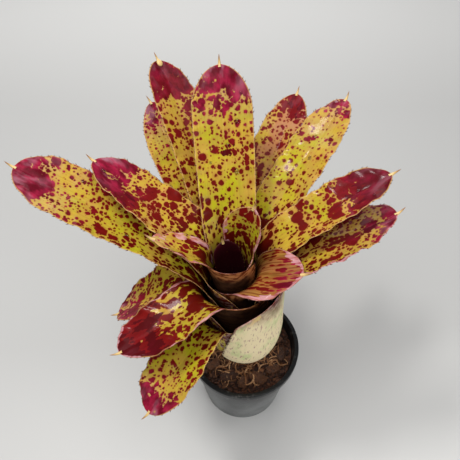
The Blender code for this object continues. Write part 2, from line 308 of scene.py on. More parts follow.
def fillet(radius, height, size, start, end):
    """Points of an arc round (radius, height), from one angle to another in degrees."""
    turn = np.radians(np.linspace(start, end, FILLET_POINTS))
    return [(radius + size * math.cos(a), height + size * math.sin(a)) for a in turn]


def ripple(seed, where, width):
    """Smooth random field near -1 to 1: a sum of sines with random directions and phases."""
    rng = np.random.default_rng(seed)
    waves = [np.sin(where @ rng.normal(size=where.shape[-1]) * 3.0 / width
                    + rng.uniform(0, 2 * np.pi)) for _ in range(8)]
    return sum(waves) / 4


pot_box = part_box("pot")
POT_HEIGHT = pot_box[1].z
POT_RIM_RADIUS = pot_box[1].x
POT_BASE_RADIUS = 0.038
RIM_OVERHANG = 0.0022
RIM_HEIGHT = 0.006
POT_WALL = 0.0016
POT_FLOOR = 0.0022


def wall_radius(z):
    """Outer radius of the pot's wall, which widens evenly with height."""
    top = POT_RIM_RADIUS - RIM_OVERHANG
    return POT_BASE_RADIUS + (top - POT_BASE_RADIUS) * z / POT_HEIGHT


def pot_profile():
    """Pot's section: underside, plain tapered wall, rolled rim, inside wall, floor."""
    foot, lip, inner = 0.0010, 0.0011, 0.0005
    rim_foot = POT_HEIGHT - RIM_HEIGHT
    inside = POT_RIM_RADIUS - RIM_OVERHANG - POT_WALL
    points = [(0, 0), (0.5 * POT_BASE_RADIUS, 0)]
    points += fillet(POT_BASE_RADIUS - foot, foot, foot, -90, -8)
    for z in np.linspace(0.004, rim_foot - 0.0015, 26):
        points.append((wall_radius(z), z))
    points += fillet(POT_RIM_RADIUS - inner, rim_foot + inner, inner, -90, 0)
    points += fillet(POT_RIM_RADIUS - lip, POT_HEIGHT - lip, lip, 0, 90)
    points += fillet(inside + inner, POT_HEIGHT - inner, inner, 90, 180)
    for z in np.linspace(POT_HEIGHT - 0.004, POT_FLOOR + 0.002, 14):
        points.append((wall_radius(z) - POT_WALL, z))
    points += [(wall_radius(POT_FLOOR) - POT_WALL - 0.001, POT_FLOOR), (0, POT_FLOOR)]
    return points


def pot_finish():
    """Satin black plastic: dust and a painted reflection of the floor low on the wall, fading to
    painted shade towards the rim, splash marks and fine scratches that run round it.
    """
    finish = Finish("black_plastic", Specular_IOR_Level=0.22)
    where = finish.in_place()
    # The grey film is partly dust and partly a painted reflection of the floor; it fades out above
    # the lower wall, leaving the top of the wall dark as painted shade.
    low = finish.step(finish.split(where)[2], 0.080, 0.030)
    dust_and_reflection = finish.step(finish.noise(where, 55.0, 5.0), -0.10, 0.95)
    dust_and_reflection = finish.times(dust_and_reflection, finish.times(low, 0.75))
    scratch = finish.step(finish.noise(where, 1.0, 2.0, (300.0, 300.0, 2600.0)), 0.62, 0.74)
    splash = finish.step(finish.noise(where, 130.0, 4.0, (1, 1, 0.55)), 0.58, 0.72)
    body = finish.blend((0.009, 0.010, 0.011), (0.33, 0.34, 0.335), dust_and_reflection)
    body = finish.blend(body, (0.26, 0.25, 0.235), splash, 0.35)
    body = finish.blend(body, (0.11, 0.11, 0.11), scratch, 0.25)
    rough = finish.plus(finish.times(dust_and_reflection, 0.28), 0.30)
    rough = finish.plus(rough, finish.times(scratch, 0.12))
    grain = finish.noise(where, 1600.0, 2.0)
    return finish.done(body, rough, finish.plus(grain, finish.times(scratch, -0.8)), 0.00004)


DRAIN_HOLES = 6
DRAIN_RADIUS = 0.0045
DRAIN_REACH = 0.62 * POT_BASE_RADIUS
pot = add_piece("pot_shell", [pot_finish()],
                [(turned(pot_profile(), 144), {}, 0)], replaces=["pot"])
drill = bmesh.new()
for i in range(DRAIN_HOLES):
    turn = 2 * math.pi * (i + 0.5) / DRAIN_HOLES
    hole = bmesh.ops.create_cone(drill, cap_ends=True, segments=40, radius1=DRAIN_RADIUS,
                                 radius2=DRAIN_RADIUS, depth=4 * POT_FLOOR)
    bmesh.ops.translate(drill, verts=hole["verts"], vec=polar(DRAIN_REACH, turn, 0.0))
drill_mesh = bpy.data.meshes.new("drill")
drill.to_mesh(drill_mesh)
drill.free()
drill_piece = bpy.data.objects.new("drill", drill_mesh)
scene.collection.objects.link(drill_piece)
drilling = pot.modifiers.new("drain_holes", "BOOLEAN")
drilling.operation = "DIFFERENCE"
drilling.object = drill_piece
drilled = bpy.data.meshes.new_from_object(pot.evaluated_get(bpy.context.evaluated_depsgraph_get()))
pot.modifiers.clear()
pot.data = drilled
bpy.data.objects.remove(drill_piece)


# ---- Potting mix --------------------------------------------------------------------------
# Shredded husk and bark that fills the pot to 12 mm below its rim: a lumpy bed, crumbs
# heaped on it, eleven larger chips of husk, and strands of fibre that lie over everything.
MIX_LEVEL = POT_HEIGHT - 0.012
MIX_LUMPS = 420
MIX_GAP = 0.0003
MIX_RADIUS = wall_radius(MIX_LEVEL) - POT_WALL - 2 * MIX_GAP


def mix_height(x, y, seed=4):
    """Height of the bed: gentle waves, and domes h sqrt(1 - d^2/r^2) of random size."""
    rng = np.random.default_rng(seed)
    flat = np.stack([x, y], -1)
    bed = MIX_LEVEL + 0.0004 * ripple(seed, flat, 0.010)
    lumps = np.zeros_like(x)
    for _ in range(MIX_LUMPS):
        middle = rng.uniform(-MIX_RADIUS, MIX_RADIUS, 2)
        size, tall = rng.uniform(0.0016, 0.0042), rng.uniform(0.0004, 0.0016)
        skew = rng.uniform(0, np.pi)
        dx, dy = x - middle[0], y - middle[1]
        along = dx * math.cos(skew) + dy * math.sin(skew)
        beside = (dy * math.cos(skew) - dx * math.sin(skew)) * 1.7
        near = np.clip(1 - (along ** 2 + beside ** 2) / size ** 2, 0, 1)
        lumps = np.maximum(lumps, tall * np.sqrt(near))
    return bed + lumps


def mix_finish(name, dark, pale):
    """Damp husk: each crumb its own brown, stringy grain, dull with a few moist glints."""
    finish = Finish(name, Specular_IOR_Level=0.35)
    where = finish.in_place()
    ruddy, sooty, _ = finish.mark("crumb")
    clouds = finish.noise(where, 380.0, 5.0)
    body = finish.blend(dark, pale, finish.step(clouds, 0.40, 0.72))
    body = finish.blend(body, (0.30, 0.125, 0.050), ruddy, 0.75)
    body = finish.blend(body, (0.012, 0.006, 0.005), sooty, 0.8)
    threads = finish.noise(where, 1500.0, 3.0, (1, 0.28, 1))
    body = finish.blend(body, (0.24, 0.125, 0.062), finish.step(threads, 0.56, 0.72), 0.35)
    damp = finish.step(finish.noise(where, 190.0, 2.0), 0.40, 0.62)
    rough = finish.plus(finish.times(damp, 0.38), 0.50)
    return finish.done(body, rough, finish.plus(clouds, threads), 0.0011)


husk_brown = mix_finish("damp_husk", (0.030, 0.011, 0.007), (0.150, 0.055, 0.027))
share = np.sin(np.linspace(np.pi / 2, 0, 90))[:, None]
bed = polar(MIX_RADIUS * share, full_turn(240), 0.0)
bed[..., 2] = mix_height(bed[..., 0], bed[..., 1])
bed[-1] = (0, 0, MIX_LEVEL)
mix_foot, mix_foot_radius = POT_FLOOR + MIX_GAP, wall_radius(POT_FLOOR) - POT_WALL - 0.0015
low = turned([(0, mix_foot), (mix_foot_radius, mix_foot)], 240)[0]
add_piece("potting_mix_bed", [husk_brown],
          [(np.concatenate([low, bed])[None], {"crumb": 0.0}, 0)], replaces=["potting_mix"])


def pebble(rows, columns):
    """Unit ball: (cos e cos a, cos e sin a, sin e), poles at its ends."""
    tilt = np.linspace(-np.pi / 2, np.pi / 2, rows)[:, None]
    flat = np.cos(tilt)
    flat[[0, -1]] = 0
    return polar(flat, full_turn(columns - 1), np.sin(tilt))


def random_turns(rng, count, steepness):
    """Matrices that tip by up to a steepness and then turn freely about Z."""
    tip = rng.uniform(-steepness, steepness, count)
    yaw = rng.uniform(0, 2 * np.pi, count)
    c, s, ct, st = np.cos(yaw), np.sin(yaw), np.cos(tip), np.sin(tip)
    zero = 0 * yaw
    return np.stack([np.stack([c, -s * ct, s * st], -1), np.stack([s, c * ct, -c * st], -1),
                     np.stack([zero, st, ct], -1)], -2)


CRUMBS = 1300
rng = np.random.default_rng(11)
reach = (MIX_RADIUS - 0.002) * np.sqrt(rng.uniform(0, 1, CRUMBS))
middle = polar(reach, rng.uniform(0, 2 * np.pi, CRUMBS), 0.0)
size = rng.uniform(0.0006, 0.0030, (CRUMBS, 1))
shape = np.concatenate([size, size * rng.uniform(0.35, 0.8, (CRUMBS, 1)),
                        size * rng.uniform(0.25, 0.5, (CRUMBS, 1))], -1)
ball = pebble(6, 8)
dents = 1 + 0.28 * np.sin(7 * ball[..., 0] + rng.uniform(0, 6, (CRUMBS, 1, 1))) \
    * np.cos(5 * ball[..., 1] + rng.uniform(0, 6, (CRUMBS, 1, 1)))
crumbs = ball * dents[..., None] * shape[:, None, None]
crumbs = np.einsum("nij,nrcj->nrci", random_turns(rng, CRUMBS, 0.7), crumbs)
middle[:, 2] = mix_height(middle[:, 0], middle[:, 1]) + 0.35 * shape[:, 2]
crumbs = crumbs + middle[:, None, None]
tones = np.stack([np.clip(rng.normal(-0.1, 0.45, CRUMBS), 0, 1),
                  np.clip(rng.normal(0.1, 0.4, CRUMBS), 0, 1), 0 * size[:, 0]], -1)
add_piece("potting_mix_crumbs", [husk_brown],
          [(crumbs, {"crumb": tones[:, None, None]}, 0)])

CHIP_THICKNESS = 0.0030
CHIP_REACH = 0.036          # the farthest chip in the table
CHIP_FROM_WALL = 0.0115     # how far that chip lies from the wall
CHIPS = [   # angle round the pot, distance from its middle, yaw, length and width
    (-118, 0.031, 20, 0.015, 0.009),
    (-92, 0.034, 75, 0.012, 0.008),
    (-66, 0.032, -30, 0.016, 0.010),
    (-38, 0.034, 15, 0.013, 0.008),
    (-10, 0.036, 80, 0.014, 0.008),
    (18, 0.033, -50, 0.012, 0.009),
    (55, 0.034, 35, 0.015, 0.009),
    (95, 0.033, -10, 0.013, 0.008),
    (135, 0.034, 60, 0.014, 0.009),
    (178, 0.034, -70, 0.013, 0.008),
    (-150, 0.033, 40, 0.014, 0.009),
]
chip_brown = mix_finish("husk_chip", (0.020, 0.007, 0.005), (0.085, 0.030, 0.015))


def chip_surface(number, length, width):
    """A squared-off ball, torn at its ends and split into layers along its length."""
    ball = pebble(28, 44)
    block = np.sign(ball) * np.abs(ball) ** 0.55
    block = block * (1 + 0.10 * ripple(number, ball, 0.8)[..., None])
    torn = 1 + 0.10 * np.sin(9 * block[..., 1] + number) * np.abs(block[..., 0])
    x = 0.46 * length * block[..., 0] * torn
    y = 0.46 * width * block[..., 1] * (1 + 0.12 * ripple(number + 20, block, 1.0))
    grain = 0.05 * np.sin(34 * block[..., 1] + 3 * ripple(number + 40, block, 0.9))
    z = 0.5 * CHIP_THICKNESS * (block[..., 2] * 0.85 + grain + 0.9)
    return np.stack([x, y, z + 0.8 * x ** 2 / length], -1)


for i, (angle, distance, yaw, length, width) in enumerate(CHIPS):
    chip = yawed(chip_surface(i, length, width), math.radians(yaw))
    spread = distance / CHIP_REACH * (wall_radius(MIX_LEVEL) - CHIP_FROM_WALL)
    chip = chip + polar(spread, np.radians(angle), MIX_LEVEL + 0.0004)
    tone = np.array([0.15 + 0.25 * math.sin(2.3 * i) ** 2, 0.3 * math.cos(1.7 * i) ** 2, 0])
    add_piece(f"bark_chip_{i + 1}", [chip_brown], [(chip[None], {"crumb": tone}, 0)],
              replaces=[f"husk_chip_{i + 1}"])


def unit(vectors):
    """Vectors at length 1."""
    return vectors / np.linalg.norm(vectors, axis=-1, keepdims=True)


def tubes(path, radius, sides):
    """Thin tubes: rings of a radius round each path, square to it; paths are (n, rows, 3)."""
    along = unit(np.gradient(path, axis=1))
    beside = unit(np.cross(along, (0.31, 0.17, 0.94)))
    above = np.cross(along, beside)
    turn = full_turn(sides)
    ring = beside[:, :, None] * np.cos(turn)[:, None] + above[:, :, None] * np.sin(turn)[:, None]
    return path[:, :, None] + ring * radius[..., None, None]


def fibre_finish():
    """Dry husk fibre: orange tan, paler where it is frayed."""
    finish = Finish("coir_fibre", Roughness=0.75, Specular_IOR_Level=0.3)
    body = finish.blend((0.20, 0.075, 0.028), (0.62, 0.36, 0.18), finish.mark("crumb")[0])
    streak = finish.noise(finish.in_place(), 900.0, 3.0)
    body = finish.blend(body, (0.24, 0.10, 0.036), finish.step(streak, 0.4, 0.7))
    return finish.done(body, None, streak, 0.0002)


FIBRES = 150
rng = np.random.default_rng(23)
step = np.linspace(-1, 1, 13)
length = rng.uniform(0.003, 0.013, (FIBRES, 1))
heading = rng.uniform(0, 2 * np.pi, (FIBRES, 1)) + rng.normal(0, 0.8, (FIBRES, 1)) * step
reach = (MIX_RADIUS - 0.010) * np.sqrt(rng.uniform(0.12, 1, (FIBRES, 1)))
bearing = rng.uniform(0, 2 * np.pi, (FIBRES, 1))
x = reach * np.cos(bearing) + length * step * np.cos(heading)
y = reach * np.sin(bearing) + length * step * np.sin(heading)
inside = np.clip((MIX_RADIUS - 0.0015) / np.hypot(x, y), 0, 1)
x, y = x * inside, y * inside
hump = rng.uniform(0.0002, 0.0024, (FIBRES, 1)) * (1 - step ** 2)
z = mix_height(x, y) + 0.0008 + hump
radius = rng.uniform(0.00020, 0.00085, (FIBRES, 1)) * np.sqrt(1 - step ** 2)
tone = np.stack([rng.uniform(0, 1, FIBRES)] * 3, -1)[:, None, None]
add_piece("husk_fibres", [fibre_finish()],
          [(tubes(np.stack([x, y, z], -1), radius, 6), {"crumb": tone}, 0)])


# ---- Stem ---------------------------------------------------------------------------------
# Short woody stem that leans a little to the left, tan and ringed by the scars of old leaves.
# It stands 15 mm deep in the mix and tapers up inside the leaf bases.
LAYERS = 16
STEM_RADIUS = 0.0075
STEM_TIP_RADIUS = 0.0040
STEM_X, STEM_Y = 0.005, -0.004
LEAN = math.radians(6.4)
LOWEST_LEAF = 0.017
FOOT_STEP = 0.0019


def lean(points):
    """Turn plant coordinates by the lean about Y and set them on the stem's foot."""
    x, y, z = np.moveaxis(points, -1, 0)
    moved = np.stack([x * math.cos(LEAN) - z * math.sin(LEAN), y,
                      x * math.sin(LEAN) + z * math.cos(LEAN)], -1)
    return moved + (STEM_X, STEM_Y, MIX_LEVEL)


def stem_surface():
    """Stem's radius: straight, then tapering, pinched at each scar ring and a little ribbed."""
    growing = LOWEST_LEAF + FOOT_STEP * (LAYERS - 1)
    z = np.linspace(-0.015, growing + 0.0028, 150)[:, None]
    turn = full_turn(72)
    taper = np.clip((z - LOWEST_LEAF) / (growing - LOWEST_LEAF), 0, 1)
    radius = STEM_RADIUS + (STEM_TIP_RADIUS - STEM_RADIUS) * taper
    tilt = z + 0.0006 * np.sin(turn + 1)
    scar = np.abs(np.sin(np.pi * tilt / 0.0034)) ** 0.35
    radius = radius * (0.95 + 0.05 * scar) + 0.00015 * np.sin(19 * turn + 60 * z)
    radius[[0, -1]] = 0
    return lean(polar(radius, turn, z))[None]


def stem_finish():
    """Orange-tan bark, papery rings of old leaf bases, darker and damp near the mix."""
    finish = Finish("stem_bark", Specular_IOR_Level=0.4)
    where = finish.in_place()
    rings = finish.noise(where, 1.0, 3.0, (60, 60, 900))
    body = finish.blend((0.24, 0.085, 0.026), (0.55, 0.28, 0.11), finish.step(rings, 0.38, 0.66))
    spots = finish.step(finish.noise(where, 420.0, 4.0), 0.56, 0.68)
    body = finish.blend(body, (0.13, 0.045, 0.020), spots, 0.6)
    damp = finish.step(finish.split(where)[2], MIX_LEVEL + 0.006, MIX_LEVEL - 0.001)
    body = finish.blend(body, (0.06, 0.025, 0.014), damp)
    return finish.done(body, finish.step(rings, -0.6, 1.1), finish.plus(rings, spots), 0.0004)


add_piece("leaf_stem", [stem_finish()], [(stem_surface(), {}, 0)], replaces=["stem"])


# ---- Leaves -------------------------------------------------------------------------------
# Sixteen leathery leaves. Each grows from the stem as a broad sheath that wraps round the
# ones inside it and holds water, and ends in a strap with a fold down its middle, small teeth
# along both margins and a spine at its tip. Yellow-green, spotted maroon, wine red at the tip,
# and ivory low on the sheath. Drops of water lie on six of them.
LEAF_THICKNESS = 0.0009
SHEATH_THICKNESS = 0.8 * LEAF_THICKNESS
LAYER_STEP = SHEATH_THICKNESS + 0.00080
INNER_RADIUS = 0.0105
BULB_HEIGHT = 0.062
SHEATH_FLARE = math.radians(4)
SHADED_LAYERS = 10      # how many leaves, from the heart, have painted shade on their outer face below
TEETH_STEP = 0.0043
SPINE_LENGTH = 0.0085
SPINE_RADIUS = 0.0013


@dataclass
class Leaf:
    """One leaf, in metres and degrees, as the frame has it, and how it is coloured."""
    name: str
    azimuth: float      # of its midline, from +X towards +Y
    top: float          # height above the mix where the sheath ends
    blade: float        # length of the strap
    width: float
    out: tuple          # angle from upright near the strap's base and at its tip
    ccw: tuple = (80, 65)       # how far the sheath wraps round, at its foot and its top
    cw: tuple = (80, 65)
    bend: float = 0.040         # length over which the strap turns outward
    shoulder: float = 0.030     # length over which the sheath narrows
    channel: float = 0.042      # radius of the strap's hollow section
    tip: float = 0.030          # length over which the strap narrows to its tip
    neck: float = 0.92          # width where the strap begins, as a share of the full width
    roll: float = 0.0           # how far the strap turns about its midline
    sway: float = 0.0           # how far its tip drifts sideways
    crimson: float = 0.12       # share of the strap that is solid red, at its tip
    spots: float = 0.5          # how densely it is spotted
    flush: float = 0.4          # how salmon it is
    lime: float = 0.5           # how green it is
    ruffle: float = 1.0         # how wavy its margins are
    pale: float = 0.050         # how far below the sheath's end it turns ivory
    shade: float = 0.030        # how far past the sheath's end its outer face is painted dark as shade
    edge: float = 0.0           # how far a pink, dried margin reaches in
    magenta: float = 1.0        # how magenta the solid red is, rather than maroon
    streaky: float = 0.0        # how far the spots are drawn out into streaks
    blots: tuple = ()           # larger stains: share along, share across, radius


LEAVES = [      # from the heart outward
    Leaf("heart_leaf", 113, 0.137, 0.018, 0.024, (3, 0), (100, 60), (100, 60),
         bend=0.010, shoulder=0.010, channel=0.012, tip=0.012, crimson=1.5, spots=1.0),
    Leaf("inner_back_leaf", 46, 0.149, 0.039, 0.036, (12, 16), (100, 60), (130, 115),
         bend=0.030, shoulder=0.013, channel=0.0185, tip=0.024, roll=2, sway=-0.004,
         crimson=-0.25, spots=0.80, flush=0.3, lime=0.9, edge=0.0034, streaky=0.1,
         magenta=0.0),
    Leaf("inner_left_leaf", 195, 0.152, 0.045, 0.030, (53, 54), (150, 155), (90, 50),
         bend=0.020, shoulder=0.006, channel=0.024, roll=10, sway=-0.010,
         crimson=-0.20, spots=0.75, flush=0.3, lime=0.9, ruffle=1.6, edge=0.0030,
         streaky=0.3, shade=0.003),
    Leaf("inner_right_leaf", 322, 0.128, 0.050, 0.042, (62, 66), (80, 58), (140, 115),
         bend=0.030, shoulder=0.006, channel=0.045, roll=24, sway=0.012,
         crimson=-0.25, spots=0.62, flush=1.7, lime=-0.1, ruffle=1.6, edge=0.0030, streaky=1.0,
         shade=0.002),
    Leaf("back_leaf", 89, 0.137, 0.133, 0.043, (46, 43), (85, 70), (80, 60),
         crimson=0.15, spots=0.55, flush=0.35, lime=0.6,
         blots=((0.82, 0.25, 0.004), (0.56, -0.35, 0.001))),
    Leaf("left_back_leaf", 151, 0.134, 0.114, 0.045, (55, 62), (140, 125), (80, 60),
         channel=0.050, roll=22, sway=-0.003, crimson=0.12, spots=0.98, flush=0.8, lime=0.4,
         blots=((0.84, 0.45, 0.008), (0.70, 0.5, 0.004), (0.9, 0.0, 0.005))),
    Leaf("right_leaf", 16, 0.126, 0.119, 0.036, (58, 71), (80, 60), (130, 65),
         channel=0.031, roll=-5, crimson=0.26, spots=0.72, flush=0.45, lime=0.35,
         magenta=0.4),
    Leaf("left_leaf", 167, 0.124, 0.157, 0.046, (57, 61), (120, 80), (80, 60),
         channel=0.045, roll=2, sway=-0.008, crimson=0.05, spots=0.86, flush=0.35, lime=0.75,
         blots=((0.93, 0.3, 0.006),)),
    Leaf("right_back_leaf", 49, 0.125, 0.140, 0.038, (62, 68), tip=0.038, roll=-7,
         crimson=0.05, spots=0.50, flush=0.45, lime=0.6,
         blots=((0.28, -0.5, 0.004), (0.2, 0.1, 0.003))),
    Leaf("front_left_leaf", 224, 0.123, 0.079, 0.040, (98, 105), (120, 125), (80, 60),
         bend=0.030, shoulder=0.021, channel=0.080, roll=2, sway=-0.015,
         crimson=0.35, spots=0.95, flush=0.3, lime=0.7, ruffle=1.5, edge=0.0012, magenta=0.1,
         streaky=0.25),
    Leaf("back_left_leaf", 105, 0.123, 0.158, 0.034, (51, 58), (80, 65), (80, 58),
         channel=0.028, roll=18, sway=0.010, crimson=0.13, spots=0.80, flush=0.4, lime=0.35,
         magenta=0.5),
    Leaf("back_right_leaf", 66, 0.121, 0.135, 0.038, (62, 70), tip=0.046,
         crimson=0.10, spots=0.72, flush=1.2, lime=0.1, magenta=0.2),
    Leaf("lower_left_leaf", 186, 0.114, 0.074, 0.045, (106, 118),
         bend=0.030, channel=0.038, roll=17, sway=0.004, crimson=0.02, spots=0.95, flush=0.3,
         lime=0.6, blots=((0.5, 0.9, 0.005), (0.8, 0.8, 0.004))),
    Leaf("far_back_left_leaf", 116, 0.112, 0.145, 0.034, (64, 65), (80, 55), (80, 65),
         channel=0.031, tip=0.042, roll=-9, sway=-0.004, crimson=0.06, spots=0.65,
         flush=0.5, lime=0.4),
    Leaf("front_leaf", 237, 0.099, 0.086, 0.044, (94, 121), (100, 54), (80, 60),
         bend=0.030, channel=0.045, neck=0.62, roll=14, sway=-0.007, crimson=0.12, spots=0.76,
         flush=0.3, lime=0.9, ruffle=1.2),
    Leaf("lower_right_leaf", 2, 0.125, 0.096, 0.049, (75, 70), (80, 60), (148, 89),
         shoulder=0.010, channel=0.070, roll=-16, sway=0.011, crimson=0.05, spots=0.95,
         flush=0.6, lime=0.3, ruffle=1.3, pale=-0.010, edge=0.0014),
]


def smooth(low, high, x):
    """Smooth step from 0 at low to 1 at high."""
    t = np.clip((x - low) / (high - low), 0, 1)
    return t * t * (3 - 2 * t)


def leaf_rows(sheath, blade):
    """Distances along a leaf: close together at its foot, shoulder and tip."""
    tip = min(0.026, 0.6 * blade)
    foot = sheath * np.linspace(0, 1, 56) ** 0.9
    strap = sheath + np.linspace(0, blade - tip, 76)[1:]
    end = sheath + blade - tip * (1 - np.sin(np.linspace(0, math.pi / 2, 30)[1:]))
    return np.concatenate([foot, strap, end])


def midline(leaf, layer):
    """Follow a leaf's midline: distance past the sheath, radius, height and slope.

    The sheath's radius grows from the stem's to the layer's as (1 - (1 - h)^2)^0.6, h being
    the share of the bulb's height, and then flares. The strap's angle from upright eases from
    the flare to its first angle over the bend, and changes by (t / length)^1.5 to its last.
    """
    foot = LOWEST_LEAF + FOOT_STEP * (LAYERS - 1 - layer)
    taper = (STEM_RADIUS - STEM_TIP_RADIUS) * (LAYERS - 1 - layer) / (LAYERS - 1)
    foot_radius = STEM_RADIUS - taper + 2 * MIX_GAP + 0.5 * SHEATH_THICKNESS
    full_radius = INNER_RADIUS + LAYER_STEP * layer
    z = foot + (leaf.top - foot) * (1 - np.cos(np.linspace(0, math.pi / 2, 600)))
    swell = np.clip((z - foot) / BULB_HEIGHT, 0, 1)
    r = foot_radius + (full_radius - foot_radius) * (1 - (1 - swell) ** 2) ** 0.6
    r = r + math.tan(SHEATH_FLARE) * np.clip(z - foot - BULB_HEIGHT, 0, None)
    s = np.concatenate([[0], np.cumsum(np.hypot(np.diff(r), np.diff(z)))])
    t = np.linspace(0, leaf.blade, 600)
    start, end = np.radians(leaf.out)
    angle = SHEATH_FLARE + (start - SHEATH_FLARE) * smooth(0, leaf.bend, t)
    angle = angle + (end - start) * (t / leaf.blade) ** 1.5
    middle = (angle[1:] + angle[:-1]) / 2
    blade_r = r[-1] + np.cumsum(np.sin(middle) * np.diff(t))
    blade_z = z[-1] + np.cumsum(np.cos(middle) * np.diff(t))
    sheath = s[-1]
    s = np.concatenate([s, sheath + t[1:]])
    wanted = leaf_rows(sheath, leaf.blade)
    radius = np.interp(wanted, s, np.concatenate([r, blade_r]))
    height = np.interp(wanted, s, np.concatenate([z, blade_z]))
    slope = np.arctan2(np.gradient(radius, wanted), np.gradient(height, wanted))
    return wanted - sheath, radius, height, slope


def half_width(leaf, wrap, t, radius, height):
    """Half width on one side: the sheath's arc, an elliptic shoulder, the strap, a round tip."""
    x = np.clip(t / leaf.blade, 0, 1)
    near_tip = np.clip((t - leaf.blade + leaf.tip) / leaf.tip, 0, 1)
    blade = 0.5 * leaf.width * (leaf.neck + (1 - leaf.neck) * smooth(0.1, 0.6, x))
    blade = blade * (1 - near_tip ** 1.8) ** 0.55
    up = np.clip((height - height[0]) / (leaf.top - height[0]), 0, 1)
    sheath = radius * np.radians(wrap[0] + (wrap[1] - wrap[0]) * up)
    past = np.clip((t + leaf.shoulder) / (leaf.shoulder + 0.008), 0, 1)
    return blade + (sheath - blade) * np.sqrt(1 - past ** 2)


COLUMNS = 47        # across a leaf, closer together towards its margins
even = np.linspace(-1, 1, COLUMNS)
ACROSS = 0.35 * np.sin(0.5 * np.pi * even) + 0.65 * even


def leaf_middle(leaf, layer):
    """Middle surface of a leaf, a grid of rows along it and columns across it.

    In the sheath a row is an arc about the plant's axis. Past the bend it is an arc of the
    channel, square to the midline, creased down its middle. Both margins wave up and down as
    a sine that grows with the cube of the distance from the middle.
    """
    t, radius, height, slope = (column[:, None] for column in midline(leaf, layer))
    left, right = (half_width(leaf, wrap, t, radius, height) for wrap in (leaf.ccw, leaf.cw))
    half = np.where(ACROSS > 0, left, right)
    side = half * ACROSS
    bent = smooth(0, leaf.bend, t)
    flatter = 1 - 0.35 * smooth(0.3 * leaf.blade, 0.8 * leaf.blade, t)
    curve = ((1 - bent) / radius + bent / leaf.channel) * flatter
    beside = np.sin(side * curve) / curve
    inward = (1 - np.cos(side * curve)) / curve
    inward = inward - 0.0012 * smooth(0, 0.030, t) * np.exp(-np.abs(side) / 0.004)
    free = smooth(0.004, 0.040, t) * (1 - smooth(-0.012, 0.004, t - leaf.blade))
    place = np.stack([side + 0.3 * layer, t + 0 * side], -1)
    wave = np.sin(2 * np.pi * t / 0.021 + 2.1 * np.sign(side) + layer)
    wave = wave + 0.6 * np.sin(2 * np.pi * t / 0.0092 + layer * side * 40)
    inward = inward + free * leaf.ruffle * 0.0008 * wave * np.abs(ACROSS) ** 3
    inward = inward + free * 0.0007 * ripple(layer, place, 0.028)
    roll = math.radians(leaf.roll) * smooth(0, 0.8 * leaf.blade, t)
    beside, inward = (beside * np.cos(roll) - inward * np.sin(roll),
                      beside * np.sin(roll) + inward * np.cos(roll))
    beside = beside + leaf.sway * (np.clip(t, 0, None) / leaf.blade) ** 2
    tilt = bent * slope
    points = np.stack([radius - inward * np.cos(tilt), beside, height + inward * np.sin(tilt)], -1)
    return lean(yawed(points, math.radians(leaf.azimuth))), t, side, half, place


def leaf_skin(leaf, layer, middle, t, side, half, place):
    """Close a middle surface into a leaf: outer face, round margin, inner face, as one loop.

    A face stands off by half the thickness times sqrt(1 - across^12), and not at all in the
    first row and the last, so that the foot and the tip close.
    """
    normal = np.cross(np.gradient(middle, axis=1), np.gradient(middle, axis=0))
    normal[-1] = normal[-2]
    normal = unit(normal)
    thick = SHEATH_THICKNESS + (LEAF_THICKNESS - SHEATH_THICKNESS) * smooth(0, 0.030, t)
    off = 0.5 * thick * np.sqrt(1 - np.abs(ACROSS) ** 12)
    off[[0, -1]] = 0
    outer, inner = middle + normal * off[..., None], middle - normal * off[..., None]
    points = np.concatenate([outer, inner[:, -2::-1]], 1)
    column = np.concatenate([np.arange(COLUMNS), np.arange(COLUMNS - 2, -1, -1)])
    outside = np.arange(len(column)) < COLUMNS

    x = t / leaf.blade
    smear = 0.42 + 0.58 * smooth(-0.010, 0.55 * leaf.blade, t)
    smear = np.cumsum(np.gradient(t, axis=0) * smear, axis=0)
    margin = half - np.abs(side)
    stain = (x - 1 + leaf.crimson) * leaf.blade + 0 * side
    for share, aside, size in leaf.blots:
        away = np.hypot(t - share * leaf.blade, side - aside * half)
        stain = np.maximum(stain, size - away)
    patchy = 0.5 + 0.5 * ripple(layer + 50, place, 0.022)
    # Painted shade: near the heart the outer face is darkened past the sheath's end, away from the
    # margins.
    gloom = smooth(0.004, 0.013, margin) * smooth(leaf.shade, leaf.shade - 0.010, t)
    gloom = gloom * (layer < SHADED_LAYERS)
    green = leaf.lime * (1 - 0.55 * smooth(0.2, 0.9, x)) + 0.5 * (patchy - 0.5)
    fields = {
        "grain": (side * (1 + 0.3 * leaf.streaky) + 0.3 * layer,
                  smear * (1 - 0.65 * leaf.streaky), 0.1 * layer),
        "place": (x, margin, 0.0),      # the last tells the outer face from the inner
        "stain": (np.clip(stain, -0.03, 0.03), leaf.spots, leaf.flush),
        "gloom": (gloom, leaf.edge, leaf.magenta),
        "habit": (leaf.streaky, 0, 0),
        # the second number marks the sheath, whose inner face gets painted shade
        "tint_and_shade": (green, smooth(0.004, -0.030, t),
                 smooth(0, -0.030, t + leaf.pale + 0.012 * (patchy - 0.5))),
    }
    marks = {}
    for key, values in fields.items():
        planes = [np.broadcast_to(v, side.shape)[:, column] for v in values]
        marks[key] = np.stack(planes, -1)[None]
    marks["place"][..., 2] = outside
    return points[None], marks, normal


